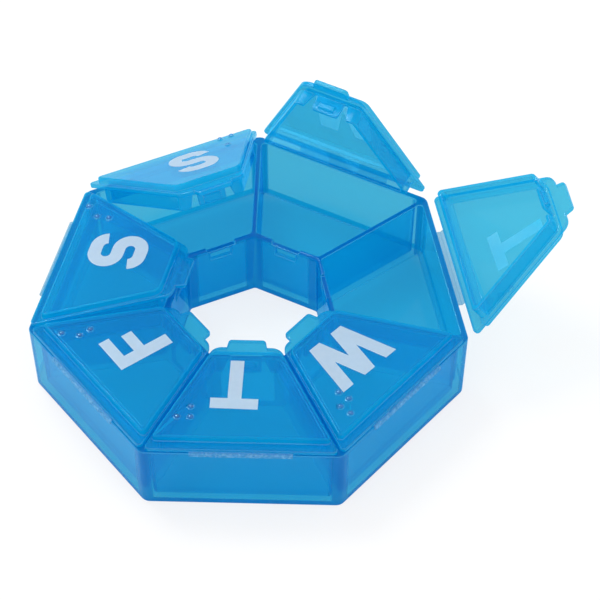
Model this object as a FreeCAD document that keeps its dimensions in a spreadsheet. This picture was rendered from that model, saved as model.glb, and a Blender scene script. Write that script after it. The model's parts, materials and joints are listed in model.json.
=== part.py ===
import FreeCAD, Part
import math
import operator
import os
import Sketcher

# Weekly pill organizer: a seven-sided ring tray with seven wedge compartments
# round an open centre. Each compartment has a snap lid on a thin hinge strip,
# a printed initial and a few raised dots. Millimetres and degrees, +Z up.

os.makedirs("parts", exist_ok=True)
doc = FreeCAD.newDocument("weekly_organizer")

SIZES = {
    # Tray. Radii run from the centre to the corners of the seven-sided outline.
    "compartments": 7,
    "front_direction": -90,
    "rim_radius": 52.0,
    "rim_height": 18.5,
    "wall_draft": 2.2,
    "outer_wall": 1.5,
    "inner_wall": 1.25,
    "divider": 1.2,
    "cavity_draft": 0.5,
    "floor_thickness": 1.6,
    "hole_radius": 19.14,
    "outer_corner": 2.5,
    "hole_corner": 1.0,
    "hole_lip": 0.9,
    "cavity_corner": 0.8,
    "catch_width": 7.2,
    "catch_depth": 0.7,
    "window_width": 5.3,
    "window_height": 2.4,
    "window_drop": 1.3,
    # Lid. Every length inwards runs from the outer edge of the rim.
    "hinge_reach": 0.6,
    "hinge_rise": 0.15,
    "slack_reach": 1.6,
    "slack_rise": -0.1,
    "flange_gap": 0.1,
    "flange_thickness": 1.1,
    "flange_start": 0.3,
    "flange_end": 30.5,
    "flange_margin": 0.3,
    "flange_hinge_corner": 1.0,
    "flange_end_corner": 3.0,
    "tab_end": 32.75,
    "tab_width": 9.6,
    "tab_tip_width": 8.4,
    "tab_corner": 0.9,
    "hollow_corner": 0.6,
    "tongue_corner": 0.8,
    "crown_rise": 1.6,
    "crown_start": 2.6,
    "crown_end": 28.0,
    "crown_margin": 0.95,
    "crown_hinge_corner": 0.8,
    "crown_end_corner": 2.6,
    "crown_edge": 0.45,
    "plate_thickness": 1.3,
    "skirt_depth": 3.75,
    "skirt_start": 3.2,
    "skirt_end": 27.95,
    "skirt_margin": 1.25,
    "skirt_thickness": 0.85,
    "skirt_hinge_corner": 0.9,
    "skirt_end_corner": 1.6,
    "flap_width": 6.8,
    "flap_depth": 3.95,
    "slot_top_width": 8.6,
    "slot_foot_width": 11.2,
    "bead_width": 4.1,
    "bead_height": 1.6,
    "bead_drop": 2.45,
    "bead_proud": 0.65,
    "bead_edge": 0.25,
    "dot_radius": 0.81,
    "dot_sunk": 0.31,
    "dot_pitch": 2.95,
    # Printed initials.
    "print_thickness": 0.08,
    "letter_height": 14.0,
    "letter_stroke": 3.1,
    "t_width": 10.8,
    "t_bar": 2.95,
    "f_width": 9.5,
    "f_arm": 8.4,
    "f_bar": 2.75,
    "f_second_bar": 5.45,
    "m_width": 13.7,
    "m_leg": 2.95,
    "m_block": 4.5,
    "m_shoulder": 5.0,
    "m_point": 10.1,
    "w_outer_reach": 7.05,
    "w_inner_reach": 3.52,
    "w_arm": 3.3,
    "w_notch": 7.6,
    "w_peak": 6.4,
    "s_straight": 1.9,
    "s_cut": 12.0,
    # Hinge strip, between the outer wall and the edge of the flange.
    "strip_width": 23.2,
    "strip_thickness": 0.3,
    "strip_length": 1.9,
    "strip_drop": 0.3,
    # How far each lid stands open.
    "opening_thursday": 0.0,
    "opening_wednesday": 0.0,
    "opening_tuesday": 145.0,
    "opening_monday": 77.3,
    "opening_sunday": 30.4,
    "opening_saturday": 6.0,
    "opening_friday": 0.0,
}

sheet = doc.addObject("Spreadsheet::Sheet", "sizes")
for row, (alias, number) in enumerate(SIZES.items(), start=1):
    sheet.set("A%d" % row, alias)
    sheet.set("B%d" % row, str(number))
    sheet.setAlias("B%d" % row, alias)
doc.recompute()


class Size:
    """A number that keeps the sheet formula it comes from."""

    def __init__(self, formula, value):
        self.formula = formula
        self.value = float(value)

    def __add__(self, other):
        return joined(self, "+", other, operator.add)

    def __radd__(self, other):
        return joined(other, "+", self, operator.add)

    def __sub__(self, other):
        return joined(self, "-", other, operator.sub)

    def __rsub__(self, other):
        return joined(other, "-", self, operator.sub)

    def __mul__(self, other):
        return joined(self, "*", other, operator.mul)

    def __rmul__(self, other):
        return joined(other, "*", self, operator.mul)

    def __truediv__(self, other):
        return joined(self, "/", other, operator.truediv)

    def __rtruediv__(self, other):
        return joined(other, "/", self, operator.truediv)

    def __neg__(self):
        return 0 - self


def as_size(thing):
    return thing if isinstance(thing, Size) else Size(repr(float(thing)), thing)


def joined(left, sign, right, work):
    left, right = as_size(left), as_size(right)
    formula = "(%s %s %s)" % (left.formula, sign, right.formula)
    return Size(formula, work(left.value, right.value))


def named(alias):
    return Size("sizes.%s" % alias, SIZES[alias])


def turned(function, angle):
    angle = as_size(angle)
    value = getattr(math, function)(math.radians(angle.value))
    return Size("%s(%s)" % (function, angle.formula), value)


def bind(thing, key, size):
    thing.setExpression(key, as_size(size).formula)


# Lengths that several pieces share.
COUNT = int(SIZES["compartments"])
SECTOR = 360 / named("compartments")
HALF = SECTOR / 2
RIM_FLAT = named("rim_radius") * turned("cos", HALF)
HOLE_FLAT = named("hole_radius") * turned("cos", HALF)
RIM = named("rim_height")


def half_width(distance, margin):
    """Half the width of one sector at a distance from the centre, less a margin at its sides."""
    return distance * turned("tan", HALF) - margin / turned("cos", HALF)


# Sketches and features.

def base_plane(body, role):
    return next(one for one in body.Origin.OriginFeatures if one.Role == role)


def outline(body, name, role, corners, lift=0, arcs=None):
    """A closed sketch through the corners. An arc replaces the edge that leaves a corner:
    {corner number: (centre, 1 for anticlockwise or -1)}."""
    arcs = arcs or {}
    sketch = body.newObject("Sketcher::SketchObject", name)
    sketch.AttachmentSupport = [(base_plane(body, role), "")]
    sketch.MapMode = "FlatFace"
    bind(sketch, "AttachmentOffset.Base.z", lift)
    corners = [(as_size(x), as_size(y)) for x, y in corners]
    spots = [FreeCAD.Vector(x.value, y.value, 0) for x, y in corners]
    tails = []
    for number, start in enumerate(spots):
        end = spots[(number + 1) % len(spots)]
        tails.append(1)
        if number not in arcs:
            sketch.addGeometry(Part.LineSegment(start, end), False)
            continue
        (x, y), way = arcs[number]
        centre = FreeCAD.Vector(as_size(x).value, as_size(y).value, 0)
        first, last = (start, end) if way > 0 else (end, start)
        tails[number] = 1 if way > 0 else 2
        circle = Part.Circle(centre, FreeCAD.Vector(0, 0, 1), (start - centre).Length)
        from_angle = math.atan2(first.y - centre.y, first.x - centre.x)
        to_angle = math.atan2(last.y - centre.y, last.x - centre.x)
        sketch.addGeometry(Part.ArcOfCircle(circle, from_angle, to_angle), False)
    for number, tail in enumerate(tails):
        after = (number + 1) % len(tails)
        head = 3 - tail
        sketch.addConstraint(Sketcher.Constraint("Coincident", number, head, after, tails[after]))
    for number, tail in enumerate(tails):
        x, y = corners[number]
        held(sketch, "DistanceX", number, tail, x)
        held(sketch, "DistanceY", number, tail, y)
    for number, ((x, y), way) in arcs.items():
        chord = spots[(number + 1) % len(spots)] - spots[number]
        if abs(chord.y) > abs(chord.x):
            held(sketch, "DistanceX", number, 3, as_size(x))
        else:
            held(sketch, "DistanceY", number, 3, as_size(y))
    return sketch


def held(sketch, kind, element, point, size):
    index = sketch.addConstraint(Sketcher.Constraint(kind, -1, 1, element, point, size.value))
    bind(sketch, "Constraints[%d]" % index, size)


def solid(body, name, kind, sketch, length, reverse=False):
    """A pad or pocket of a sketch."""
    feature = body.newObject("PartDesign::" + kind, name)
    feature.Profile = sketch
    feature.Reversed = reverse
    bind(feature, "Length", length)
    doc.recompute()
    return feature


def repeated(body, name, feature):
    """The feature in every compartment."""
    pattern = body.newObject("PartDesign::PolarPattern", name)
    pattern.Originals = [feature]
    pattern.Axis = (base_plane(body, "Z_Axis"), [""])
    pattern.Angle = 360
    bind(pattern, "Occurrences", named("compartments"))
    body.Tip = pattern
    doc.recompute()
    return pattern


def rounded(body, name, wanted, radius, kind="Fillet"):
    """Rounds or bevels each edge for which wanted(middle, direction) is true."""
    whole = body.Tip
    names = []
    for number, edge in enumerate(whole.Shape.Edges, start=1):
        middle = edge.valueAt((edge.FirstParameter + edge.LastParameter) / 2)
        along = edge.tangentAt((edge.FirstParameter + edge.LastParameter) / 2)
        if wanted(middle, along):
            names.append("Edge%d" % number)
    feature = body.newObject("PartDesign::" + kind, name)
    feature.Base = (whole, names)
    bind(feature, "Radius" if kind == "Fillet" else "Size", named(radius))
    body.Tip = feature
    doc.recompute()
    return feature


def upright(along):
    return abs(along.z) > 0.9


def near(first, second, slack=0.05):
    return abs(first - as_size(second).value) < slack


def from_centre(point):
    return math.hypot(point.x, point.y)


# Tray.

def make_tray():
    body = doc.addObject("PartDesign::Body", "tray")
    body.Label = "tray"
    lean = turned("tan", named("wall_draft"))
    angles = [SECTOR * number - HALF for number in range(COUNT)]

    def ring(radius):
        return [(radius * turned("cos", one), radius * turned("sin", one)) for one in angles]

    foot_radius = named("rim_radius") - RIM * lean / turned("cos", HALF)
    foot = outline(body, "foot_outline", "XY_Plane", ring(foot_radius))
    walls = solid(body, "block", "Pad", foot, RIM)
    bind(walls, "TaperAngle", named("wall_draft"))
    doc.recompute()

    hole = outline(body, "hole_outline", "XY_Plane", ring(named("hole_radius")), RIM)
    solid(body, "centre_hole", "Pocket", hole, RIM)
    split = (named("hole_radius") + named("rim_radius")).value / 2
    rounded(body, "outer_corners", lambda at, along: upright(along) and from_centre(at) > split,
            "outer_corner")
    rounded(body, "hole_corners", lambda at, along: upright(along) and from_centre(at) < split,
            "hole_corner")
    rounded(body, "hole_lip",
            lambda at, along: near(at.z, RIM) and from_centre(at) < split,
            "hole_lip")

    # A compartment narrows a little towards the floor so that the moulding releases.
    lid_depth = RIM - named("floor_thickness")
    slope = turned("tan", named("cavity_draft"))
    mouth_out = RIM_FLAT - named("outer_wall")
    floor_out = mouth_out - lid_depth * lean
    mouth_in = HOLE_FLAT + named("inner_wall")
    floor_in = mouth_in + lid_depth * slope
    mouth_side = named("divider") / 2
    floor_side = mouth_side + lid_depth * slope

    def compartment(name, inner, outer, side, level):
        corners = [(inner, -half_width(inner, side)), (outer, -half_width(outer, side)),
                   (outer, half_width(outer, side)), (inner, half_width(inner, side))]
        return outline(body, name, "XY_Plane", corners, level)

    mouth = compartment("mouth_outline", mouth_in, mouth_out, mouth_side, RIM)
    floor = compartment("floor_outline", floor_in, floor_out, floor_side, named("floor_thickness"))
    hollow = body.newObject("PartDesign::SubtractiveLoft", "compartment")
    hollow.Profile = mouth
    hollow.Sections = [floor]
    hollow.Ruled = True
    doc.recompute()
    repeated(body, "compartment_ring", hollow)
    rounded(body, "compartment_corners",
            lambda at, along: upright(along) and inside_compartment(at), "cavity_corner")

    # The lid's bead snaps into a window under a shallow dip in the inner wall.
    dip_half = named("catch_width") / 2
    dip_in = HOLE_FLAT - named("hole_corner")
    dip_out = mouth_in + named("hole_corner")
    dip = outline(body, "dip_outline", "XY_Plane",
                  [(dip_in, -dip_half), (dip_out, -dip_half), (dip_out, dip_half), (dip_in, dip_half)],
                  RIM)
    repeated(body, "catch_dips", solid(body, "catch_dip", "Pocket", dip, named("catch_depth")))
    wide = named("window_width") / 2
    head = RIM - named("window_drop")
    sill = head - named("window_height")
    window = outline(body, "window_outline", "YZ_Plane",
                     [(-wide, sill), (wide, sill), (wide, head), (-wide, head)], dip_in)
    repeated(body, "catch_windows",
             solid(body, "catch_window", "Pocket", window, dip_out - dip_in, reverse=True))

    bind(body, "Placement", placed_text((0, 0, 0), (0, 0, 1), named("front_direction")))
    doc.recompute()
    return body


def inside_compartment(point):
    """True for a point on the lower walls of a compartment, so not on the outer or hole faces."""
    sector = 360 / COUNT
    turn = math.degrees(math.atan2(point.y, point.x)) / sector
    along = from_centre(point) * math.cos(math.radians((turn - round(turn)) * sector))
    outer_face = RIM_FLAT.value - (RIM.value - point.z) * math.tan(math.radians(SIZES["wall_draft"]))
    return HOLE_FLAT.value + SIZES["inner_wall"] / 2 < along < outer_face - SIZES["outer_wall"] / 2


def placed_text(position, axis, angle):
    x, y, z = (as_size(one).formula for one in position)
    spot = "create(<<vector>>; %s; %s; %s)" % (x, y, z)
    pole = "create(<<vector>>; %d; %d; %d)" % axis
    turn = "create(<<rotation>>; %s; %s)" % (pole, as_size(angle).formula)
    return Size("create(<<placement>>; %s; %s)" % (spot, turn), 0)


class Hinge:
    """The line a lid turns about: outside the rim by reach, over it by rise."""

    def __init__(self, day, number, reach="hinge_reach", rise="hinge_rise"):
        self.day = day
        self.number = number
        self.reach = named(reach)
        self.rise = named(rise)
        self.flat = RIM_FLAT + self.reach
        self.opening = named("opening_" + day)

    def placement(self, opening):
        """The frame on the hinge line, turned about it by an opening."""
        direction = named("front_direction") + SECTOR * self.number
        turn = placed_text((0, 0, 0), (0, 0, 1), direction)
        swing = placed_text((self.flat, 0, RIM + self.rise), (0, 1, 0), opening)
        return Size("%s * %s" % (turn.formula, swing.formula), 0)

    def x(self, inwards):
        """A length inwards from the rim's outer edge, in the hinge frame of a shut lid."""
        return -(inwards + self.reach)

    def z(self, height):
        """A height over the rim, in the hinge frame of a shut lid."""
        return height - self.rise

    def wedge(self, start, end, margin):
        """Corners of a wedge between two lengths inwards, clear of the sector's sides by margin."""
        corners = []
        for inwards, side in ((end, -1), (start, -1), (start, 1), (end, 1)):
            corners.append((self.x(inwards), side * half_width(RIM_FLAT - inwards, margin)))
        return corners


# Lids. Their own frame stands on the hinge line: -X runs inwards over the
# compartment, Y along the hinge and Z up while the lid is shut.

FLANGE_TOP = named("flange_gap") + named("flange_thickness")
CROWN_TOP = FLANGE_TOP + named("crown_rise")


def make_lid(hinge, first_dot, dots):
    """A lid with a cell of raised dots: 1 to 3 down its left column, 4 to 6 down its right."""
    body = doc.addObject("PartDesign::Body", "lid_" + hinge.day)
    body.Label = "lid_" + hinge.day
    middle = hinge.x(SIZES["flange_end"] / 2).value
    flange_low = hinge.z(named("flange_gap"))
    flange_top = hinge.z(FLANGE_TOP)
    crown_top = hinge.z(CROWN_TOP)

    def at_end(point, end):
        return near(point.x, hinge.x(end))

    flange = outline(body, "flange_outline", "XY_Plane",
                     hinge.wedge(named("flange_start"), named("flange_end"),
                                 named("flange_margin")), flange_low)
    solid(body, "flange", "Pad", flange, named("flange_thickness"))
    rounded(body, "flange_hinge_corners",
            lambda at, along: upright(along) and at.x > middle, "flange_hinge_corner")
    rounded(body, "flange_end_corners",
            lambda at, along: upright(along) and at_end(at, named("flange_end")),
            "flange_end_corner")

    root = named("tab_width") / 2
    tip = named("tab_tip_width") / 2
    root_x = hinge.x(named("flange_end") - named("flange_thickness"))
    tip_x = hinge.x(named("tab_end"))
    tab = outline(body, "tab_outline", "XY_Plane",
                  [(tip_x, -tip), (root_x, -root), (root_x, root), (tip_x, tip)], flange_low)
    solid(body, "tab", "Pad", tab, named("flange_thickness"))
    rounded(body, "tab_corners",
            lambda at, along: upright(along) and at_end(at, named("tab_end")), "tab_corner")

    crown = outline(body, "crown_outline", "XY_Plane",
                    hinge.wedge(named("crown_start"), named("crown_end"),
                                named("crown_margin")), flange_top)
    solid(body, "crown", "Pad", crown, named("crown_rise"))
    rounded(body, "crown_hinge_corners",
            lambda at, along: upright(along) and at.z > flange_top.value and at.x > middle,
            "crown_hinge_corner")
    rounded(body, "crown_end_corners",
            lambda at, along: upright(along) and at.z > flange_top.value
            and at_end(at, named("crown_end")), "crown_end_corner")
    rounded(body, "crown_edges", lambda at, along: near(at.z, crown_top), "crown_edge")

    foot = hinge.z(-named("skirt_depth"))
    wall = named("skirt_thickness")
    skirt = outline(body, "skirt_outline", "XY_Plane",
                    hinge.wedge(named("skirt_start"), named("skirt_end"),
                                named("skirt_margin")), foot)
    solid(body, "skirt", "Pad", skirt, flange_top - foot)
    rounded(body, "skirt_hinge_corners",
            lambda at, along: upright(along) and at.z < flange_low.value and at.x > middle,
            "skirt_hinge_corner")
    rounded(body, "skirt_end_corners",
            lambda at, along: upright(along) and at.z < flange_low.value
            and at_end(at, named("skirt_end")), "skirt_end_corner")
    inside = outline(body, "hollow_outline", "XY_Plane",
                     hinge.wedge(named("skirt_start") + wall, named("skirt_end") - wall,
                                 named("skirt_margin") + wall), foot)
    solid(body, "hollow", "Pocket", inside, crown_top - named("plate_thickness") - foot,
          reverse=True)
    inner_ends = (hinge.x(named("skirt_start") + wall), hinge.x(named("skirt_end") - wall))
    rounded(body, "hollow_corners",
            lambda at, along: upright(along) and (near(at.x, inner_ends[0])
                                                  or near(at.x, inner_ends[1])),
            "hollow_corner")

    # Two slots free the catch flap in the middle of the end skirt.
    flap = named("flap_width") / 2
    slot_top = named("slot_top_width") / 2
    slot_foot = named("slot_foot_width") / 2
    clear = named("bead_edge")
    flap_foot = hinge.z(-named("flap_depth"))
    for side, way in (("left", -1), ("right", 1)):
        corners = [(way * slot_foot, foot - clear), (way * flap, foot - clear),
                   (way * flap, flange_low), (way * slot_top, flange_low)]
        slot = outline(body, "slot_outline_" + side, "YZ_Plane", corners,
                       hinge.x(named("skirt_end") - wall - clear))
        solid(body, "slot_" + side, "Pocket", slot, wall + 2 * clear)
    tongue = outline(body, "tongue_outline", "YZ_Plane",
                     [(-flap, flap_foot), (flap, flap_foot), (flap, flange_low),
                      (-flap, flange_low)], hinge.x(named("skirt_end") - wall))
    solid(body, "tongue", "Pad", tongue, wall, reverse=True)
    rounded(body, "tongue_corners",
            lambda at, along: abs(along.x) > 0.9 and near(at.z, flap_foot), "tongue_corner")

    half = named("bead_width") / 2
    bead_low = hinge.z(-named("bead_drop")) - named("bead_height") / 2
    bead_high = bead_low + named("bead_height")
    bead = outline(body, "bead_outline", "YZ_Plane",
                   [(-half, bead_low), (half, bead_low), (half, bead_high), (-half, bead_high)],
                   hinge.x(named("skirt_end")))
    solid(body, "bead", "Pad", bead, named("bead_proud"), reverse=True)
    rounded(body, "bead_edges",
            lambda at, along: at_end(at, named("skirt_end") + named("bead_proud")), "bead_edge")

    pitch = named("dot_pitch")
    for number in dots:
        column, row = divmod(number - 1, 3)
        dot = body.newObject("PartDesign::AdditiveSphere", "dot_%d" % number)
        bind(dot, "Radius", named("dot_radius"))
        bind(dot, "Placement.Base.x", hinge.x(as_size(first_dot[1]) + row * pitch))
        bind(dot, "Placement.Base.y", -(as_size(first_dot[0]) + column * pitch))
        bind(dot, "Placement.Base.z", crown_top - named("dot_sunk"))
        doc.recompute()

    bind(body, "Placement", hinge.placement(hinge.opening))
    doc.recompute()
    return body


# Printed initials. Outlines run as (across, inwards) from the middle of the
# rim's outer edge, with the top of the letter towards the hinge.

STROKE = named("letter_stroke")
TALL = named("letter_height")


def letter_t(left, top):
    right, foot = left + named("t_width"), top + TALL
    bar = top + named("t_bar")
    stem_left = (left + right - STROKE) / 2
    stem_right = stem_left + STROKE
    return [(left, top), (left, bar), (stem_left, bar), (stem_left, foot), (stem_right, foot),
            (stem_right, bar), (right, bar), (right, top)], {}


def letter_f(left, top):
    right, arm, stem = left + named("f_width"), left + named("f_arm"), left + STROKE
    bar, foot = top + named("f_bar"), top + TALL
    second = top + named("f_second_bar")
    below = second + named("f_bar")
    return [(left, top), (left, foot), (stem, foot), (stem, below), (arm, below),
            (arm, second), (stem, second), (stem, bar), (right, bar), (right, top)], {}


def letter_m(left, top):
    right, foot = left + named("m_width"), top + TALL
    middle, half = (left + right) / 2, STROKE / 2
    leg, block = named("m_leg"), named("m_block")
    shoulder, point = top + named("m_shoulder"), top + named("m_point")
    return [(left, top), (left, foot), (left + leg, foot), (left + leg, shoulder),
            (middle - half, foot), (middle + half, foot), (right - leg, shoulder),
            (right - leg, foot), (right, foot), (right, top), (right - block, top),
            (middle, point), (left + block, top)], {}


def letter_w(left, top):
    half = named("w_arm") / 2
    outer, inner = named("w_outer_reach"), named("w_inner_reach")
    middle, foot = left + outer + half, top + TALL
    notch, peak = top + named("w_notch"), top + named("w_peak")
    return [(middle - outer - half, top), (middle - inner - half, foot),
            (middle - inner + half, foot), (middle, peak), (middle + inner - half, foot),
            (middle + inner + half, foot), (middle + outer + half, top),
            (middle + outer - half, top), (middle + inner, notch), (middle + half, top),
            (middle - half, top), (middle - inner, notch), (middle - outer + half, top)], {}


def letter_s(left, top):
    """Two bowls joined by a straight spine."""
    big = (TALL + STROKE) / 4
    small = big - STROKE
    west, east = left + big, left + big + named("s_straight")
    high, low = top + big, top + TALL - big
    over, across = turned("sin", named("s_cut")), turned("cos", named("s_cut"))
    corners = [
        (east + big * across, high - big * over), (east, top), (west, top), (west, high + big),
        (east, high + big), (east, low + small), (west, low + small),
        (west - small * across, low + small * over), (west - big * across, low + big * over),
        (west, low + big), (east, low + big), (east, low - big), (west, low - big),
        (west, high - small), (east, high - small),
        (east + small * across, high - small * over)]
    upper_east, upper_west = (east, high), (west, high)
    lower_east, lower_west = (east, low), (west, low)
    return corners, {0: (upper_east, -1), 2: (upper_west, -1), 4: (lower_east, 1),
                     6: (lower_west, 1), 8: (lower_west, -1), 10: (lower_east, -1),
                     12: (upper_west, 1), 14: (upper_east, 1)}


def make_print(hinge, letter, corner, tilt):
    """A printed film on the crown. The tilt turns it about its own middle."""
    body = doc.addObject("PartDesign::Body", "initial_" + hinge.day)
    body.Label = "initial_" + hinge.day
    left, top = as_size(corner[0]), as_size(corner[1])
    corners, arcs = letter(left, top)
    middle = top + TALL / 2
    cosine, sine = turned("cos", tilt), turned("sin", tilt)

    def drawn(point):
        across, inwards = as_size(point[0]), point[1] - middle
        return (hinge.x(middle + inwards * cosine + across * sine),
                inwards * sine - across * cosine)

    centres = {key: (drawn(centre), -way) for key, (centre, way) in arcs.items()}
    film = outline(body, "film_outline", "XY_Plane", [drawn(one) for one in corners],
                   hinge.z(CROWN_TOP), centres)
    solid(body, "film", "Pad", film, named("print_thickness"))
    bind(body, "Placement", hinge.placement(hinge.opening))
    doc.recompute()
    return body


# Hinge strips. A strip leaves the outer wall square to it, bends evenly and
# meets the lid's edge square to that, whatever the opening.

STRIP_STEPS = 24
HANDLE_HALVINGS = 40


def make_strip(hinge):
    strip = doc.addObject("Part::Feature", "hinge_" + hinge.day)
    strip.Label = "hinge_" + hinge.day
    read = sheet.get
    opening = math.radians(read("opening_" + hinge.day))
    thick, width = read("strip_thickness"), read("strip_width")
    reach, rise = hinge.reach.value, hinge.rise.value
    start = FreeCAD.Vector(-reach, 0, -rise - read("strip_drop"))
    edge = FreeCAD.Vector(-reach - read("flange_start"), 0,
                          read("flange_gap") + read("flange_thickness") / 2 - rise)
    swing = FreeCAD.Rotation(FreeCAD.Vector(0, 1, 0), math.degrees(opening))
    end = swing.multVec(edge)
    leaving = FreeCAD.Vector(1, 0, 0)
    arriving = swing.multVec(FreeCAD.Vector(-1, 0, 0))
    handle = strip_handle(start, end, leaving, arriving, read("strip_length"))
    middle_line = Part.BezierCurve()
    middle_line.setPoles([start, start + leaving * handle, end - arriving * handle, end])
    upper, lower = [], []
    for step in range(STRIP_STEPS + 1):
        parameter = step / STRIP_STEPS
        point = middle_line.value(parameter)
        side = middle_line.tangent(parameter)[0].cross(FreeCAD.Vector(0, 1, 0))
        upper.append(point + side * thick / 2)
        lower.append(point - side * thick / 2)
    edges = []
    for points in (upper, list(reversed(lower))):
        curve = Part.BSplineCurve()
        curve.interpolate(points)
        edges.append(curve.toShape())
    edges.insert(1, Part.makeLine(upper[-1], lower[-1]))
    edges.append(Part.makeLine(lower[0], upper[0]))
    face = Part.Face(Part.Wire(edges))
    face.translate(FreeCAD.Vector(0, -width / 2, 0))
    strip.Shape = face.extrude(FreeCAD.Vector(0, width, 0))
    bind(strip, "Placement", hinge.placement(0))
    doc.recompute()
    return strip


def strip_handle(start, end, leaving, arriving, wanted):
    """How far the strip runs straight out so that its middle line has the wanted length."""
    low = (end - start).Length / 3
    high = low + wanted / 2 * leaving.getAngle(arriving) / math.pi
    for _ in range(HANDLE_HALVINGS):
        handle = (low + high) / 2
        curve = Part.BezierCurve()
        curve.setPoles([start, start + leaving * handle, end - arriving * handle, end])
        if curve.length() < wanted:
            low = handle
        else:
            high = handle
    return low


# Assembly.

make_tray()
DAYS = [
    # hinge, initial, its left side and top, its tilt, where its cell of dots starts, its dots
    (Hinge("thursday", 0), letter_t, (-3.45, 10.95), 1.2, (11.68, 8.42), (1, 2, 4)),
    (Hinge("wednesday", 1), letter_w, (-8.0, 9.85), 3.2, (10.45, 5.3), (2, 3, 4, 5)),
    (Hinge("tuesday", 2), letter_t, (-4.25, 9.4), 1.5, (10.4, 5.3), (2, 4, 5, 6)),
    (Hinge("monday", 3), letter_m, (-6.25, 9.6), 0.0, (10.6, 5.3), (2, 3, 4, 5)),
    (Hinge("sunday", 4, "slack_reach", "slack_rise"), letter_s, (-4.1, 7.4), 0.0,
     (11.45, 4.1), (1, 3, 4)),
    (Hinge("saturday", 5), letter_s, (-2.95, 7.7), 0.0, (12.35, 3.5), (2, 3, 4)),
    (Hinge("friday", 6), letter_f, (-2.45, 9.25), 1.0, (12.0, 4.5), (2, 3, 4)),
]
for hinge, letter, corner, tilt, first_dot, dots in DAYS:
    make_lid(hinge, first_dot, dots)
    make_print(hinge, letter, corner, tilt)
    make_strip(hinge)

doc.recompute()
for thing in doc.Objects:
    if "Invalid" in thing.State or "Error" in thing.State:
        raise RuntimeError("%s is not sound: %s" % (thing.Name, thing.State))
pieces = [one for one in doc.Objects
          if one.TypeId in ("PartDesign::Body", "Part::Feature") and hasattr(one, "Shape")]
for piece in pieces:
    shape = piece.Shape
    if shape.isNull() or not shape.isValid():
        raise RuntimeError("%s has no valid shape" % piece.Label)
    shape.exportStep("parts/%s.step" % piece.Label)
    print(piece.Label, len(shape.Solids), round(shape.Volume, 1))
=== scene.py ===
# %% [markdown]
# A weekly pill organizer moulded in clear blue plastic. Seven wedge boxes stand
# in a ring round an open middle, and each has a snap lid on a thin hinge strip,
# a printed initial and a few raised dots.
#
# The construction file already holds every size, so this lesson takes its solids
# as the frame and works on the looks: softened edges, clear tinted plastic,
# bent hinge strips and printed ink.

# %% The fixed frame
import json
import math

import bmesh
import bpy
from mathutils import Matrix, Vector


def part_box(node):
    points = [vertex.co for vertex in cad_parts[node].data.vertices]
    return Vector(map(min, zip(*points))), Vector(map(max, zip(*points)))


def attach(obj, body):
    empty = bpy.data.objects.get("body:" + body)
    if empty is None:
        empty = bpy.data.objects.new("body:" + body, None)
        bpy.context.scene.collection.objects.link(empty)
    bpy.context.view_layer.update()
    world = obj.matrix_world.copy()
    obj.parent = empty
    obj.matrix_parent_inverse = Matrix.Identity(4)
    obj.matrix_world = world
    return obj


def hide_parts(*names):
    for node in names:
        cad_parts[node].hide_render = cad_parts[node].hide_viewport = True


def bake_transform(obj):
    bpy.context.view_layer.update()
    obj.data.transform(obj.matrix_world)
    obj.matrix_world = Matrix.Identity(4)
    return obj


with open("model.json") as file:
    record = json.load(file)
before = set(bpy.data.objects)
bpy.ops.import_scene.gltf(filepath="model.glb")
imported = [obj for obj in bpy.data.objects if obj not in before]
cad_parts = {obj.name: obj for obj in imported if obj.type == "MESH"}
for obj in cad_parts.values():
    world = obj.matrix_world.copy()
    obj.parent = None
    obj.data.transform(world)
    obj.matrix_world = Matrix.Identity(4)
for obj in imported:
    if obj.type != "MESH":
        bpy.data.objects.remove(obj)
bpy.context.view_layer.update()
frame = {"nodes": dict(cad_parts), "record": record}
MM = 0.001
DAYS = ["thursday", "wednesday", "tuesday", "monday", "sunday", "saturday", "friday"]

# %% [markdown]
# The camera looks down on the table from the front with a long lens, which keeps
# the seven sides nearly parallel. Its place is worked out from one target point,
# a direction and a distance, so each number has a plain meaning.

# %% Camera
AZIMUTH, ELEVATION, ROLL = (math.radians(turn) for turn in (2.39374, 48.74545, -0.58523))
TARGET = Vector((10.903, 15.590, 0)) * MM
DISTANCE = 763.16 * MM
FOCAL_LENGTH, SENSOR_WIDTH = 191.245, 36
NEAREST, FARTHEST = 50 * MM, 20000 * MM

back = Vector((math.sin(AZIMUTH) * math.cos(ELEVATION),
               -math.cos(AZIMUTH) * math.cos(ELEVATION), math.sin(ELEVATION)))
right = Vector((0, 0, 1)).cross(back).normalized()
right, up = (right * math.cos(ROLL) + back.cross(right) * math.sin(ROLL),
             back.cross(right) * math.cos(ROLL) - right * math.sin(ROLL))
lens = bpy.data.cameras.new("table_camera")
lens.lens, lens.sensor_width = FOCAL_LENGTH, SENSOR_WIDTH
lens.clip_start, lens.clip_end = NEAREST, FARTHEST
camera = bpy.data.objects.new("table_camera", lens)
camera.matrix_world = Matrix.Translation(TARGET + back * DISTANCE) @ Matrix(
    (right, up, back)).transposed().to_4x4()
bpy.context.scene.collection.objects.link(camera)
bpy.context.scene.camera = camera
print("camera at, mm:", [round(v / MM, 1) for v in camera.location])

# %% [markdown]
# Shader recipes. Node trees are easier to read as sums than as wires, so a small
# class wraps a socket and turns + - * / into Math nodes. Any other node comes
# from one method that takes its type, its settings and what feeds it.

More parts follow.
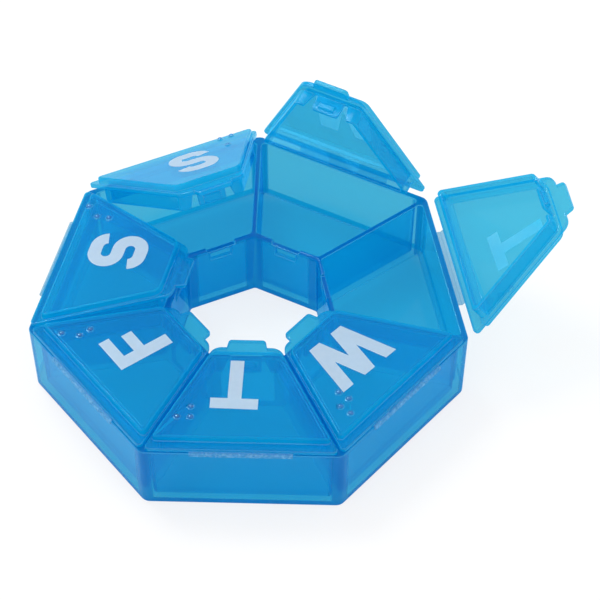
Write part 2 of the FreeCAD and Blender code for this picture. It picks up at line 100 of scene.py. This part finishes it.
# %% Shader sums
class Signal:
    """A number that changes over a surface."""

    def __init__(self, recipe, socket):
        self.recipe, self.socket = recipe, socket

    def __add__(self, other):
        return self.recipe.maths("ADD", self, other)

    def __radd__(self, other):
        return self.recipe.maths("ADD", other, self)

    def __sub__(self, other):
        return self.recipe.maths("SUBTRACT", self, other)

    def __rsub__(self, other):
        return self.recipe.maths("SUBTRACT", other, self)

    def __mul__(self, other):
        return self.recipe.maths("MULTIPLY", self, other)

    def __rmul__(self, other):
        return self.recipe.maths("MULTIPLY", other, self)

    def __truediv__(self, other):
        return self.recipe.maths("DIVIDE", self, other)

    def __pow__(self, other):
        return self.recipe.maths("POWER", self, other)

    def held(self):
        """The value kept between 0 and 1."""
        return self.recipe.maths("ADD", self, clamp=True)


class Recipe:
    """A material whose nodes are made by name."""

    def __init__(self, name):
        self.material = bpy.data.materials.new(name)
        self.material.use_nodes = True
        self.tree = self.material.node_tree
        self.tree.nodes.clear()

    def node(self, kind, settings=None, feeds=None, out=0):
        made = self.tree.nodes.new(kind)
        for key, value in (settings or {}).items():
            if key == "stops":
                ramp = made.color_ramp
                for index, (place, colour) in enumerate(value):
                    stop = ramp.elements[index] if index < 2 else ramp.elements.new(place)
                    stop.position, stop.color = place, (*colour, 1)
            else:
                setattr(made, key, value)
        for key, value in (feeds or {}).items():
            if isinstance(value, Signal):
                self.tree.links.new(value.socket, made.inputs[key])
            else:
                made.inputs[key].default_value = value
        return Signal(self, made.outputs[out])

    def maths(self, operation, first, second=0.0, clamp=False):
        return self.node("ShaderNodeMath", {"operation": operation, "use_clamp": clamp},
                         {0: first, 1: second})

    def mix(self, share, first, second):
        return self.node("ShaderNodeMixShader", {}, {0: share, 1: first, 2: second})

    def see_through(self, tint):
        return self.node("ShaderNodeBsdfTransparent", {}, {"Color": (*tint, 1)})

    def glow_through(self, tint):
        return self.node("ShaderNodeBsdfTranslucent", {}, {"Color": (*tint, 1)})

    def ramp(self, stops, share):
        return self.node("ShaderNodeValToRGB", {"stops": stops}, {0: share}, out="Color")

    def ray(self, question):
        return self.node("ShaderNodeLightPath", out=question)

    def noise(self, scale, detail=2.0, roughness=0.5):
        place = self.node("ShaderNodeTexCoord", out="Object")
        return self.node("ShaderNodeTexNoise", {},
                         {"Vector": place, "Scale": scale, "Detail": detail,
                          "Roughness": roughness}, out="Fac")

    def attribute(self, name):
        return self.node("ShaderNodeAttribute", {"attribute_name": name}, out="Fac")

    def bump(self, height, strength, distance):
        return self.node("ShaderNodeBump", {},
                         {"Strength": strength, "Distance": distance, "Height": height},
                         out="Normal")

    def finish(self, surface):
        output = self.tree.nodes.new("ShaderNodeOutputMaterial")
        self.tree.links.new(surface.socket, output.inputs["Surface"])
        print("material:", self.material.name, "with", len(self.tree.nodes), "nodes")
        return self.material


# %% [markdown]
# Blue plastic. This is polypropylene, which is clear and a little milky at once:
# most light goes straight through a wall and comes out blue, and some scatters
# inside and makes the wall glow. Refracting glass would show the first part only
# and turn nearly black where many walls stand behind each other. So the recipe
# mixes a tinted Transparent shader, which lamps shine through as well, with a
# share of blue that scatters to both sides, under a thin gloss.
#
# Light that has scattered or been mirrored once passes all later walls, which
# keeps the inside bright and free of grain.
#
# Five marks on the faces, from 0 to 1, tell the plastic where it is. "rim" is the
# tray's rim or a soft edge, where the blue is deepest, and a dot's foot, which is
# painted darkest as painted shade: the dark ring that bent light gives a real
# raised dot at its edge. "thin" is a narrow face or a soft edge, which is milkier,
# and "glint" is a soft edge, which catches light. "dot" is a raised dot, which
# works as a small lens, its tint deepened partly for the added plastic and partly
# as painted shade. "outside" is the ring's outer face or the face of its hole,
# which are deep in front of the floor slab and of each divider. Seven dividers
# stand like spokes, so a turn about the middle, cut into seven parts, gives the
# distance to the nearest one.

# %% Blue plastic
SECTOR = 2 * math.pi / len(DAYS)
FRONT = -math.pi / 2
FLOOR_SLAB, SLAB_FADE = 1.7 * MM, 0.3 * MM
POST_REACH, POST_FADE, POST_DEPTH = 1.9 * MM, 0.5 * MM, 0.8
FACE_ON, EDGE_ON, THICK = (0.40, 0.80, 0.92), (0.12, 0.72, 0.93), (0.01, 0.32, 0.66)
# The dots' lens tint is deeper than a sheet's, partly for the added plastic and partly as
# painted shade for their dark ring.
BEAD_TINT_AND_SHADE, BACKLIT = (0.02, 0.42, 0.72), (0.0, 0.80, 1.0)
GLOSS, BODY_GLOSS = (0.50, 0.86, 1.0), (0.45, 0.86, 1.0)
BEAD_IOR, BODY_IOR, SHEEN_IOR = 1.49, 1.3, 1.22
GLOW = [(0.0, (0.0, 0.68, 0.98)), (0.8, (0.0, 0.28, 0.68)), (1.0, (0.0, 0.16, 0.50))]


def solid_behind(recipe):
    """How much floor slab or divider stands behind a place on the ring's outside."""
    place = recipe.node("ShaderNodeTexCoord", out="Object")
    x, y, z = (recipe.node("ShaderNodeSeparateXYZ", {}, {"Vector": place}, out=axis)
               for axis in "XYZ")
    part = (recipe.maths("ARCTAN2", y, x) - FRONT) / SECTOR + 0.5
    off = part - recipe.maths("ROUND", part)
    radius = (x * x + y * y) ** 0.5
    across = radius * recipe.maths("ABSOLUTE", off) * SECTOR
    slab = ((FLOOR_SLAB - z) / SLAB_FADE + 0.5).held()
    post = ((POST_REACH - across) / POST_FADE + 0.5).held()
    return recipe.maths("MAXIMUM", slab, post * POST_DEPTH)


def blue_plastic():
    recipe = Recipe("blue_plastic")
    flow = recipe.noise(45, 2.0)
    handling = recipe.noise(260, 4.0, 0.6)
    ripple = recipe.bump(flow, 0.10, 0.6 * MM)
    rim, thin, glint, outside, dot = (
        recipe.attribute(mark) for mark in ("rim", "thin", "glint", "outside", "dot"))
    deep = (rim + 0.9 * (outside * solid_behind(recipe))).held()
    facing = recipe.node("ShaderNodeLayerWeight", {}, {"Blend": 0.5}, out="Facing")
    edge_on = (facing * facing).held()
    inner = recipe.node("ShaderNodeNewGeometry", out="Backfacing")
    bead = dot * (1.0 - inner)

    lens = recipe.node("ShaderNodeBsdfRefraction", {}, {
        "Color": (*BEAD_TINT_AND_SHADE, 1), "Roughness": 0.03, "IOR": BEAD_IOR})
    sheet = recipe.mix(edge_on, recipe.see_through(FACE_ON), recipe.see_through(EDGE_ON))
    sheet = recipe.mix(deep, sheet, recipe.see_through(THICK))
    sheet = recipe.mix(bead, sheet, lens)

    front = recipe.node("ShaderNodeBsdfPrincipled", {}, {
        "Base Color": recipe.ramp(GLOW, deep), "Roughness": 0.16 + 0.12 * handling,
        "IOR": BODY_IOR, "Specular Tint": (*BODY_GLOSS, 1), "Normal": ripple})
    scatter = recipe.mix(0.5, front, recipe.glow_through(BACKLIT))
    first_hit = 1.0 - (recipe.ray("Is Diffuse Ray") + recipe.ray("Is Glossy Ray")).held()
    milk = (0.14 + 0.05 * flow + 0.12 * edge_on + 0.30 * deep + 0.16 * thin) * first_hit

    shine = recipe.node("ShaderNodeBsdfGlossy", {}, {
        "Color": (*GLOSS, 1), "Roughness": 0.05, "Normal": ripple})
    fresnel = recipe.node("ShaderNodeFresnel", {}, {"IOR": SHEEN_IOR, "Normal": ripple})
    sheen = (fresnel * (1.0 - 0.85 * inner) + 0.11 * bead + 0.06 * glint) * first_hit
    return recipe.finish(recipe.mix(sheen, recipe.mix(milk, sheet, scatter), shine))


BLUE = blue_plastic()

# %% [markdown]
# Each hinge is the same plastic drawn out to a third of a millimetre. Bending
# whitens it: fine pale specks gather in the fold, most of all in its middle. The
# strip's mesh says how far along the bend each point is ("bend", 0 at the wall and
# 1 at the lid) and how tight the fold is ("fold"), and the specks follow both.

# %% Hinge plastic
CLEAR_STRIP, BACKLIT_STRIP = (0.74, 0.90, 0.95), (0.40, 0.76, 0.92)
WHITENING = [(0.0, (0.10, 0.52, 0.82)), (1.0, (0.72, 0.88, 0.96))]


def hinge_plastic():
    recipe = Recipe("hinge_plastic")
    bend, fold = recipe.attribute("bend"), recipe.attribute("fold")
    grain = recipe.noise(1400, 3.0, 0.7)
    broad = recipe.noise(240, 2.0)
    middle = (4.0 * bend * (1.0 - bend)).held()
    white = (fold * middle * (1.5 * grain - 0.35) * (0.4 + 0.7 * broad)).held()
    front = recipe.node("ShaderNodeBsdfPrincipled", {}, {
        "Base Color": recipe.ramp(WHITENING, white), "Roughness": 0.22 + 0.2 * grain,
        "IOR": 1.45, "Normal": recipe.bump(grain, 0.5, 0.1 * MM)})
    scatter = recipe.mix(0.4, front, recipe.glow_through(BACKLIT_STRIP))
    body = (0.14 + 0.08 * grain + 0.40 * white).held()
    return recipe.finish(recipe.mix(body, recipe.see_through(CLEAR_STRIP), scatter))


HINGE = hinge_plastic()

# %% [markdown]
# Printed ink is pale and matt, a little uneven where the pad pressed it on. The
# film is thin enough to glow from behind, and it would do so twice if both its
# faces spread light, so the face that a ray meets first spreads it and the other
# lets it pass.

# %% Printed ink
PRINT = [(0.3, (0.65, 0.78, 0.77)), (0.75, (0.72, 0.84, 0.83))]
BACKLIT_PRINT, NO_TINT = (0.90, 0.98, 1.0), (1, 1, 1)


def pale_ink():
    recipe = Recipe("pale_print")
    wear = recipe.noise(900, 3.0)
    film = recipe.node("ShaderNodeBsdfPrincipled", {}, {
        "Base Color": recipe.ramp(PRINT, wear), "Roughness": 0.42 + 0.12 * wear,
        "Normal": recipe.bump(wear, 0.15, 0.1 * MM)})
    lit = recipe.mix(0.5, film, recipe.glow_through(BACKLIT_PRINT))
    inner = recipe.node("ShaderNodeNewGeometry", out="Backfacing")
    return recipe.finish(recipe.mix(inner, lit, recipe.see_through(NO_TINT)))


INK = pale_ink()

# %% [markdown]
# Where each lid turns. The record gives every hinge a place, a line and a range,
# and the range also says how far the lid stands open at rest. A frame on the hinge
# line, x outwards, y along the hinge and z up, makes the rest easy to place.

# %% Hinge frames
tray_low, tray_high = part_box("tray")
rim_flat, rim_height = -tray_low.y, tray_high.z
hinges = {}
for joint in frame["record"]["behaviour"]["joints"]:
    origin, along = Vector(joint["pos_m"]), Vector(joint["axis"]).normalized()
    upward = Vector((0, 0, 1))
    outwards = along.cross(upward)
    turned = Matrix((outwards, along, upward)).transposed().to_4x4()
    hinges[joint["child"]] = {
        "shut": Matrix.Translation(origin) @ turned,
        "opening": -math.radians(joint["range_deg"][0]),
        "reach": origin.to_2d().length - rim_flat,
        "rise": origin.z - rim_height}
for child, hinge in hinges.items():
    print(child, "stands open", round(math.degrees(hinge["opening"]), 1), "degrees")

# %% [markdown]
# Moulded edges are never razor sharp, and a clear part shows it: each edge
# catches a line of light. The solids have sharp rims, so each shell is a copy of
# its solid with matching points merged, flat faces joined, and a bevel on every
# edge that turns by more than thirty-five degrees. The faces are sorted into kinds
# on the way, so that the plastic knows which are narrow, which are the ring's
# outside and which belong to the raised dots. A bevel gives its new faces one
# material slot, so the kinds are carried in slots and become marks at the end.

# %% Softened shells
KINDS = ["sheet", "soft_edge", "narrow", "tray_rim", "outside", "dot", "dot_shade_ring"]
SHARES = {"rim": {"soft_edge": 0.30, "narrow": 0.15, "tray_rim": 1.0, "dot_shade_ring": 1.0},
          "thin": {"soft_edge": 0.6, "narrow": 1.0}, "glint": {"soft_edge": 1.0},
          "outside": {"outside": 1.0}, "dot": {"dot": 1.0}}
SAME_POINT, FLAT_TURN = 0.001 * MM, math.radians(0.4)
SHARP_TURN, CREASE_TURN = math.radians(35), math.radians(50)
EDGE_SOFTNESS, BEVEL_ROWS = 0.2 * MM, 2


def face_width(face):
    """The width of a face that is much longer than wide."""
    return 2 * face.calc_area() / face.calc_perimeter()


def softened(node, name, kind_of):
    """A copy of a solid with bevelled edges and its faces sorted into kinds."""
    mesh = frame["nodes"][node].data.copy()
    work = bmesh.new()
    work.from_mesh(mesh)
    bmesh.ops.remove_doubles(work, verts=work.verts, dist=SAME_POINT)
    bmesh.ops.dissolve_limit(work, angle_limit=FLAT_TURN, verts=work.verts,
                             edges=work.edges, use_dissolve_boundaries=False)
    weights = work.edges.layers.float.new("bevel_weight_edge")
    softened_edges = 0
    for edge in work.edges:
        if len(edge.link_faces) == 2 and edge.calc_face_angle() > SHARP_TURN:
            edge[weights] = 1.0
            softened_edges += 1
    mesh.materials.clear()
    for _ in KINDS:
        mesh.materials.append(BLUE)
    work.normal_update()
    for face in work.faces:
        face.material_index = KINDS.index(kind_of(face))
    work.to_mesh(mesh)
    work.free()
    shell = bpy.data.objects.new(name, mesh)
    bpy.context.scene.collection.objects.link(shell)
    soft = shell.modifiers.new("soft_edges", "BEVEL")
    soft.limit_method, soft.width, soft.segments = "WEIGHT", EDGE_SOFTNESS, BEVEL_ROWS
    soft.use_clamp_overlap = False
    soft.material = KINDS.index("soft_edge")
    level = shell.modifiers.new("even_light", "WEIGHTED_NORMAL")
    level.keep_sharp = True
    shell.data.shade_smooth()
    shell.data.set_sharp_from_angle(angle=CREASE_TURN)
    baked = bpy.data.meshes.new_from_object(
        shell.evaluated_get(bpy.context.evaluated_depsgraph_get()))
    shell.modifiers.clear()
    shell.data = baked
    kinds = [KINDS[face.material_index] for face in baked.polygons]
    for label, share in SHARES.items():
        mark = baked.attributes.new(label, "FLOAT", "FACE")
        for index, kind in enumerate(kinds):
            mark.data[index].value = share.get(kind, 0.0)
    for face in baked.polygons:
        face.material_index = 0
    while len(baked.materials) > 1:
        baked.materials.pop()
    print(name, "edges softened:", softened_edges, "faces:",
          {kind: kinds.count(kind) for kind in KINDS if kind in kinds})
    return shell


NARROW, WALL_REACH, RIM_REACH = 1.3 * MM, 1.3 * MM, 1.5 * MM
CROWN_TOP, DOT_FOOT, ON_CROWN = 2.8 * MM, 0.28 * MM, 0.02 * MM
HOLE_CORNER, HOLE_REACH = 19.14 * MM, 0.3 * MM
HOLE_FLAT = HOLE_CORNER * math.cos(SECTOR / 2) + HOLE_REACH


def tray_kind(face):
    middle = face.calc_center_median()
    if face.normal.z > 0.5 and middle.z > rim_height - RIM_REACH:
        return "tray_rim"
    turn = round((math.atan2(middle.y, middle.x) - FRONT) / SECTOR) * SECTOR + FRONT
    hole = middle.x * math.cos(turn) + middle.y * math.sin(turn) < HOLE_FLAT
    outer = middle.to_2d().length > rim_flat - WALL_REACH
    return "outside" if abs(face.normal.z) < 0.5 and (outer or hole) else "sheet"


def lid_kind(hinge):
    lid_frame = hinge["shut"] @ Matrix.Rotation(hinge["opening"], 4, "Y")
    to_lid = lid_frame.inverted()

    def kind(face):
        over = (to_lid @ face.calc_center_median()).z + hinge["rise"] - CROWN_TOP
        if over > ON_CROWN:
            # A dot's lowest faces are painted darkest, as the shade ring at its edge.
            return "dot" if over > DOT_FOOT else "dot_shade_ring"
        return "narrow" if face_width(face) < NARROW else "sheet"
    return kind


tray = softened("tray", "ring_tray", tray_kind)
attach(tray, "tray")
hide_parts("tray")
for day in DAYS:
    lid = softened("lid_" + day, day + "_lid", lid_kind(hinges["lid_" + day]))
    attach(lid, "lid_" + day)
    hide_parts("lid_" + day)
    initial = frame["nodes"]["initial_" + day].data
    initial.materials.clear()
    initial.materials.append(INK)

# %% [markdown]
# Hinge strips. The real strip is a flat ribbon, 23 mm wide, that leaves the wall
# square to it and meets the lid's edge square to that, so its side view is a curve
# of one length that folds into a hairpin when the lid is shut. A ribbon that follows
# a path is a job for Geometry Nodes: a Bezier Segment draws the path, Curve to Mesh
# sweeps a thin rectangle along it, and stored attributes tell the material where
# the fold is. The strip is cut into many short rows.

# %% A tree that sweeps one strip
STRIP_WIDTH, STRIP_THICKNESS, STRIP_LENGTH = 23.2 * MM, 0.3 * MM, 1.9 * MM


def strip_tree():
    tree = bpy.data.node_groups.new("hinge_strip", "GeometryNodeTree")
    sockets = {}

    def add(label, kind, way="INPUT"):
        sockets[label] = tree.interface.new_socket(name=label, in_out=way, socket_type=kind)

    for label in ("Wall", "Wall Handle", "Lid Handle", "Lid"):
        add(label, "NodeSocketVector")
    for label in ("Width", "Thickness", "Fold"):
        add(label, "NodeSocketFloat")
    add("Rows", "NodeSocketInt")
    add("Material", "NodeSocketMaterial")
    add("Geometry", "NodeSocketGeometry", "OUTPUT")
    given = tree.nodes.new("NodeGroupInput")

    def node(kind, feeds, settings=None):
        made = tree.nodes.new(kind)
        for key, value in (settings or {}).items():
            setattr(made, key, value)
        for key, value in feeds.items():
            if isinstance(value, bpy.types.NodeSocket):
                tree.links.new(value, made.inputs[key])
            else:
                made.inputs[key].default_value = value
        return made

    path = node("GeometryNodeCurvePrimitiveBezierSegment", {
        "Resolution": given.outputs["Rows"], "Start": given.outputs["Wall"],
        "Start Handle": given.outputs["Wall Handle"], "End Handle": given.outputs["Lid Handle"],
        "End": given.outputs["Lid"]}, {"mode": "POSITION"})
    even = node("GeometryNodeResampleCurve", {
        "Curve": path.outputs["Curve"], "Count": given.outputs["Rows"]})
    way = node("GeometryNodeSplineParameter", {})
    marked = node("GeometryNodeStoreNamedAttribute", {
        "Geometry": even.outputs["Curve"], "Name": "bend", "Value": way.outputs["Factor"]},
        {"data_type": "FLOAT", "domain": "POINT"})
    outline = node("GeometryNodeCurvePrimitiveQuadrilateral", {
        "Width": given.outputs["Width"], "Height": given.outputs["Thickness"]})
    swept = node("GeometryNodeCurveToMesh", {
        "Curve": marked.outputs["Geometry"], "Profile Curve": outline.outputs["Curve"],
        "Fill Caps": True})
    folded = node("GeometryNodeStoreNamedAttribute", {
        "Geometry": swept.outputs["Mesh"], "Name": "fold", "Value": given.outputs["Fold"]},
        {"data_type": "FLOAT", "domain": "POINT"})
    real = node("GeometryNodeRealizeInstances", {"Geometry": folded.outputs["Geometry"]})
    clad = node("GeometryNodeSetMaterial", {
        "Geometry": real.outputs["Geometry"], "Material": given.outputs["Material"]})
    tree.links.new(clad.outputs["Geometry"], tree.nodes.new("NodeGroupOutput").inputs[0])
    print("tree:", tree.name, "with", len(tree.nodes), "nodes")
    return tree, {label: socket.identifier for label, socket in sockets.items()}


STRIP_TREE, STRIP_INPUTS = strip_tree()

# %% [markdown]
# The strip's length fixes its curve. Both ends and both directions are known, so
# only the handles are free: halving finds the handle that makes the middle line
# just as long as the strip.

# %% The strips
STRIP_DROP, FLANGE_START, FLANGE_MIDDLE = 0.3 * MM, 0.3 * MM, 0.65 * MM
ROWS, HALVINGS, SPOTS = 25, 30, 40
OPEN_EASE, STRIP_CREASE = 0.65, math.radians(40)


def line_length(corners):
    """Length of the cubic Bezier curve through four corners."""
    def spot(t):
        share = (1 - t) ** 3, 3 * t * (1 - t) ** 2, 3 * t * t * (1 - t), t ** 3
        return sum((corner * part for corner, part in zip(corners, share)), Vector())
    spots = [spot(step / SPOTS) for step in range(SPOTS + 1)]
    return sum((after - before).length for before, after in zip(spots, spots[1:]))


def strip_corners(hinge):
    wall = Vector((-hinge["reach"], 0, -hinge["rise"] - STRIP_DROP))
    swing = Matrix.Rotation(hinge["opening"], 3, "Y")
    lid_edge = swing @ Vector((-hinge["reach"] - FLANGE_START, 0,
                               FLANGE_MIDDLE - hinge["rise"]))
    leaving, arriving = Vector((1, 0, 0)), swing @ Vector((-1, 0, 0))
    low, high = 0.0, STRIP_LENGTH
    for _ in range(HALVINGS):
        handle = (low + high) / 2
        corners = [wall, wall + leaving * handle, lid_edge - arriving * handle, lid_edge]
        low, high = (handle, high) if line_length(corners) < STRIP_LENGTH else (low, handle)
    return [hinge["shut"] @ corner for corner in corners]


def hinge_strip(day):
    hinge = hinges["lid_" + day]
    corners = strip_corners(hinge)
    strip = bpy.data.objects.new(day + "_hinge_strip", bpy.data.meshes.new("strip"))
    bpy.context.scene.collection.objects.link(strip)
    sweep = strip.modifiers.new("sweep", "NODES")
    sweep.node_group = STRIP_TREE
    values = dict(zip(("Wall", "Wall Handle", "Lid Handle", "Lid"), corners))
    values.update({"Width": STRIP_WIDTH, "Thickness": STRIP_THICKNESS, "Rows": ROWS,
                   "Fold": 1.0 - OPEN_EASE * hinge["opening"] / math.pi, "Material": HINGE})
    for label, value in values.items():
        sweep[STRIP_INPUTS[label]] = value
    strip.data = bpy.data.meshes.new_from_object(
        strip.evaluated_get(bpy.context.evaluated_depsgraph_get()))
    strip.modifiers.clear()
    strip.data.shade_smooth()
    strip.data.set_sharp_from_angle(angle=STRIP_CREASE)
    print(strip.name, "faces:", len(strip.data.polygons))
    return strip, corners


for day in DAYS:
    strip, corners = hinge_strip(day)
    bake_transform(strip)
    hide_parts("hinge_" + day)

# %% [markdown]
# A white sweep: a pale table that keeps a soft shadow, and a white room all
# round, so that the clear plastic always has something bright behind it. For the
# camera, most of the table's brightness is its own, which keeps it near white.
# Seen through plastic, that own brightness is a painted shade of grey. Under the
# tray, where only blue light would arrive, it is a painted blue shadow.

# %% Table and room
TABLE_SIZE, TABLE_TOP = 8000 * MM, -0.02 * MM
UNDER_TRAY, UNDER_FADE = 49 * MM, 4 * MM
# The grey is painted shade for the table seen through plastic, and the blue grey is a painted
# blue shadow under the tray.
WHITE, SHADE_GREY, BLUE_SHADOW = (1, 1, 1), (0.56, 0.56, 0.56), (0.24, 0.54, 0.62)
LAMP_PLACE, LAMP_SIZE, LAMP_POWER = Vector((-350, 350, 800)) * MM, 350 * MM, 4.0
LIFTED_SHARE, BOUNCES, SEE_THROUGH_BOUNCES = 0.76, 24, 48


def pale_table():
    recipe = Recipe("pale_table")
    cloth = recipe.node("ShaderNodeBsdfDiffuse", {}, {"Color": (0.9, 0.9, 0.9, 1)})
    white, shade_grey, blue_shadow = (
        recipe.node("ShaderNodeEmission", {}, {"Color": (*tint, 1), "Strength": 1.0})
        for tint in (WHITE, SHADE_GREY, BLUE_SHADOW))
    place = recipe.node("ShaderNodeTexCoord", out="Object")
    reach = recipe.node("ShaderNodeVectorMath", {"operation": "LENGTH"}, {0: place},
                        out="Value")
    under = ((UNDER_TRAY - reach) / UNDER_FADE + 0.5).held()
    behind_plastic = recipe.ray("Transparent Depth").held()
    # Seen through plastic, the table shows painted shade, bluer under the tray.
    lift = recipe.mix(behind_plastic, white, recipe.mix(under, shade_grey, blue_shadow))
    return recipe.finish(recipe.mix(recipe.ray("Is Camera Ray") * LIFTED_SHARE, cloth, lift))


bpy.ops.mesh.primitive_plane_add(size=TABLE_SIZE, location=(0, 0, TABLE_TOP))
table = bpy.context.object
table.name = "table"
table.data.materials.append(pale_table())

scene = bpy.context.scene
scene.world = bpy.data.worlds.new("white_room")
scene.world.use_nodes = True
nodes, links = scene.world.node_tree.nodes, scene.world.node_tree.links
nodes.clear()
room = nodes.new("ShaderNodeBackground")
room.inputs["Color"].default_value = (*WHITE, 1)
links.new(room.outputs[0], nodes.new("ShaderNodeOutputWorld").inputs["Surface"])

key = bpy.data.lights.new("softbox", "AREA")
key.shape, key.size, key.energy = "SQUARE", LAMP_SIZE, LAMP_POWER
lamp = bpy.data.objects.new("softbox", key)
lamp.location = LAMP_PLACE
lamp.rotation_euler = (-LAMP_PLACE).to_track_quat("-Z", "Y").to_euler()
scene.collection.objects.link(lamp)

scene.view_settings.view_transform = "Standard"
scene.cycles.max_bounces = BOUNCES
scene.cycles.transparent_max_bounces = SEE_THROUGH_BOUNCES
print("lamp at, mm:", [round(v / MM) for v in lamp.location])
